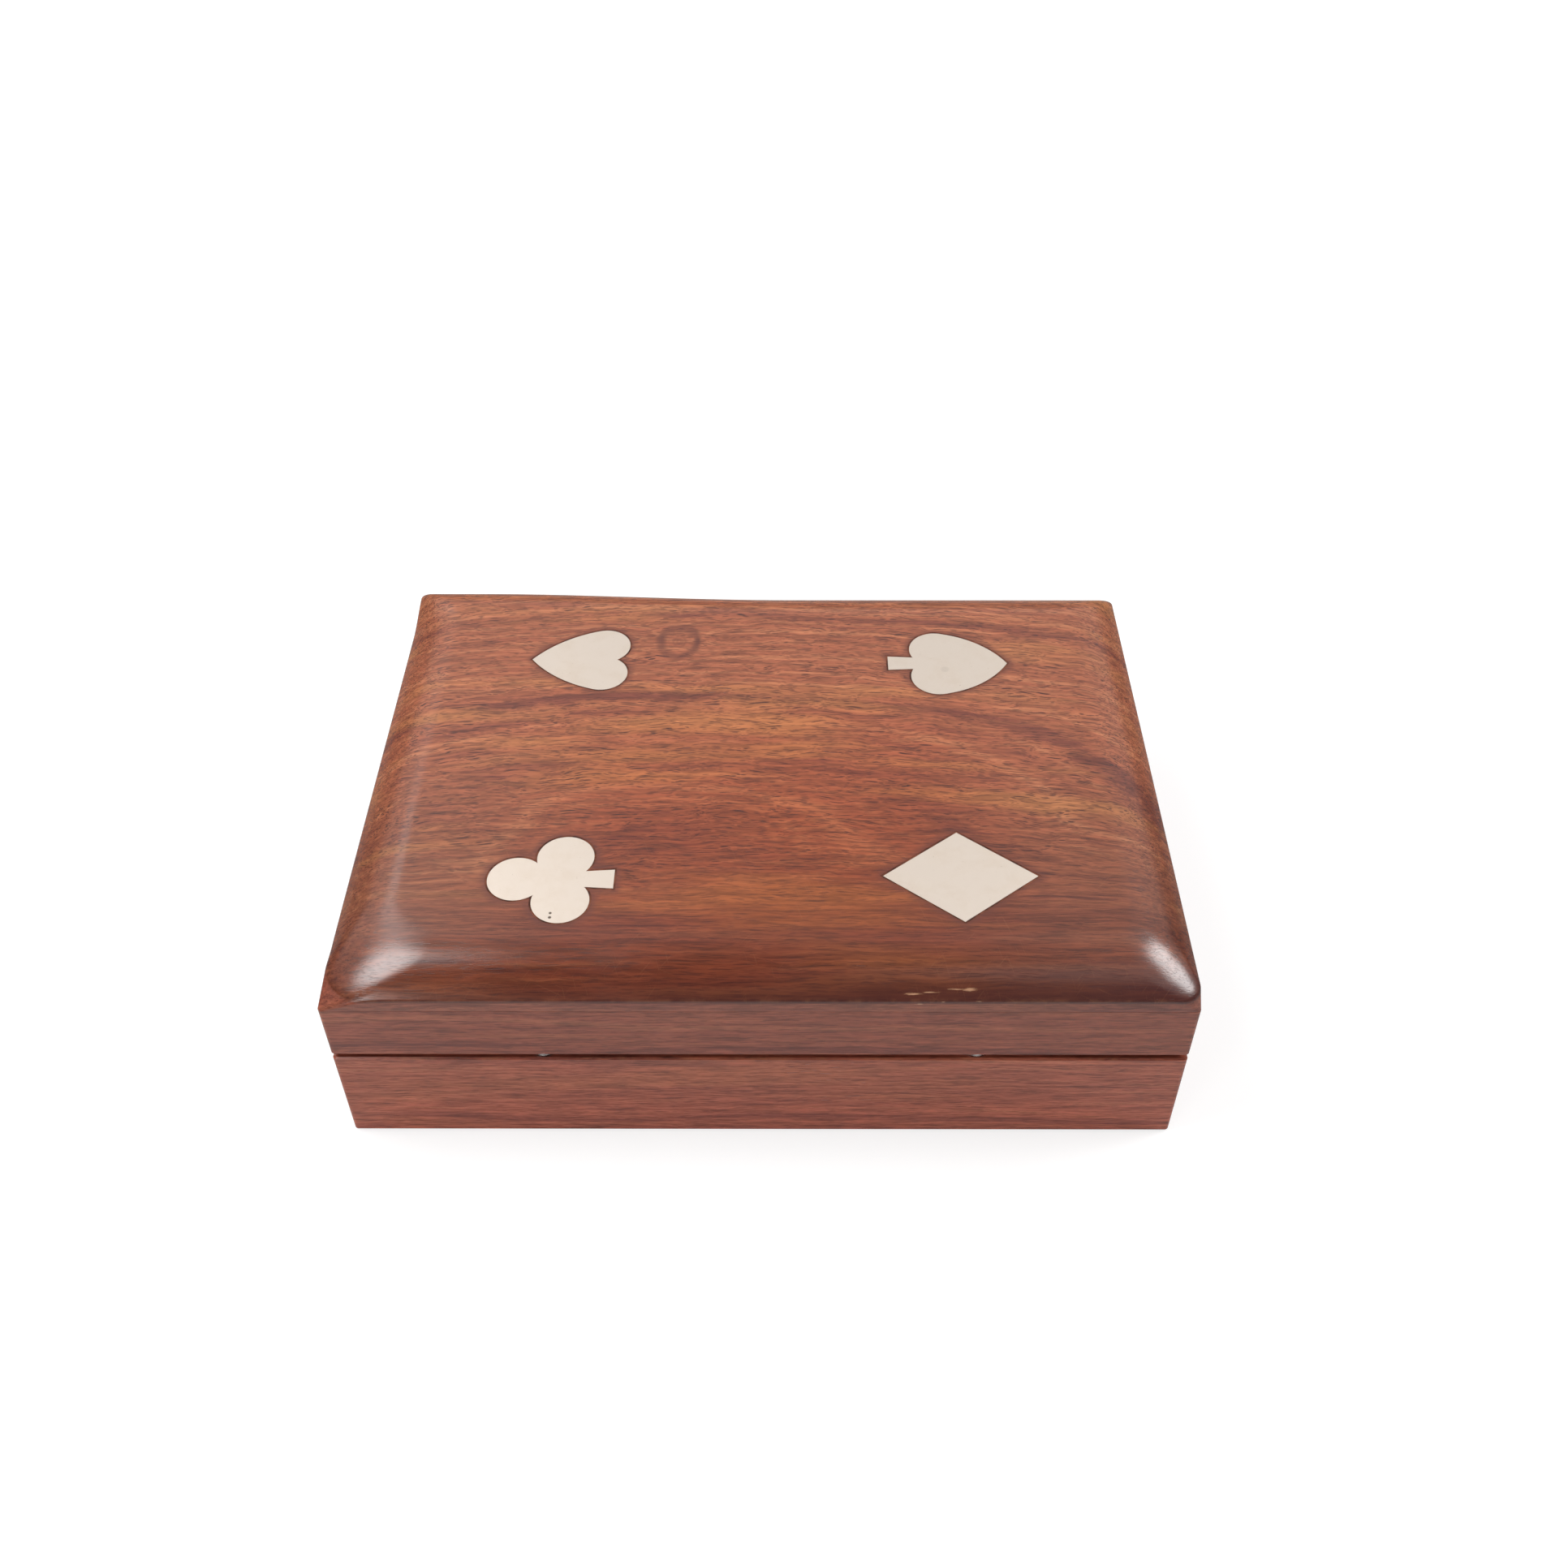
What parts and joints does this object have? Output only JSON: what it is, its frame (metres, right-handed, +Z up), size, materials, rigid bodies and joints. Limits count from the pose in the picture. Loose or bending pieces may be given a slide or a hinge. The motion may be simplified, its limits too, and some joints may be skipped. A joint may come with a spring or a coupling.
{
  "type": "playing card box",
  "caption": "Low wooden box with a hinged, crowned lid, brass card-suit inlays, a divider and velvet-lined compartments for decks of playing cards.",
  "frame": {"origin": "middle of the box's underside", "axes": "+X along the width to the right as the front is faced, front towards -Y, +Z up through the lid"},
  "size_m": [0.15, 0.11, 0.043],
  "materials": {
    "hardwood": "polished, striped dark hardwood with a thin lacquer",
    "plywood": "thin stained plywood, unpolished",
    "velvet": "short-pile velvet on card",
    "magnet": "nickel-plated disc",
    "brass": "rolled brass, slightly dulled",
    "pin_steel": "drawn wire",
    "inlay_brass": "pale brass sheet, rubbed flush with the wood",
    "bedding": "dark filler"
  },
  "bodies": {
    "base": {"base_front_wall": "hardwood", "base_back_wall": "hardwood", "base_left_wall": "hardwood", "base_right_wall": "hardwood", "bottom_panel": "plywood", "deck_divider": "hardwood", "left_floor_lining": "velvet", "right_floor_lining": "velvet", "base_magnets": "magnet", "left_hinge_base_leaf": "brass", "right_hinge_base_leaf": "brass", "left_hinge_pin": "pin_steel", "right_hinge_pin": "pin_steel", "base_hinge_screws": "brass"},
    "lid": {"lid_front_wall": "hardwood", "lid_back_wall": "hardwood", "lid_left_wall": "hardwood", "lid_right_wall": "hardwood", "lid_top_board": "hardwood", "heart_inlay": "inlay_brass", "spade_inlay": "inlay_brass", "club_inlay": "inlay_brass", "diamond_inlay": "inlay_brass", "inlay_bedding": "bedding", "lid_lining": "velvet", "lid_magnets": "magnet", "left_hinge_lid_leaf": "brass", "right_hinge_lid_leaf": "brass", "lid_hinge_screws": "brass"}
  },
  "joints": [
    {"name": "lid_hinge", "type": "hinge", "parent": "base", "child": "lid", "pos_m": [0, 0.0534, 0.0223], "axis": [-1, 0, 0], "range_deg": [0, 100]}
  ]
}
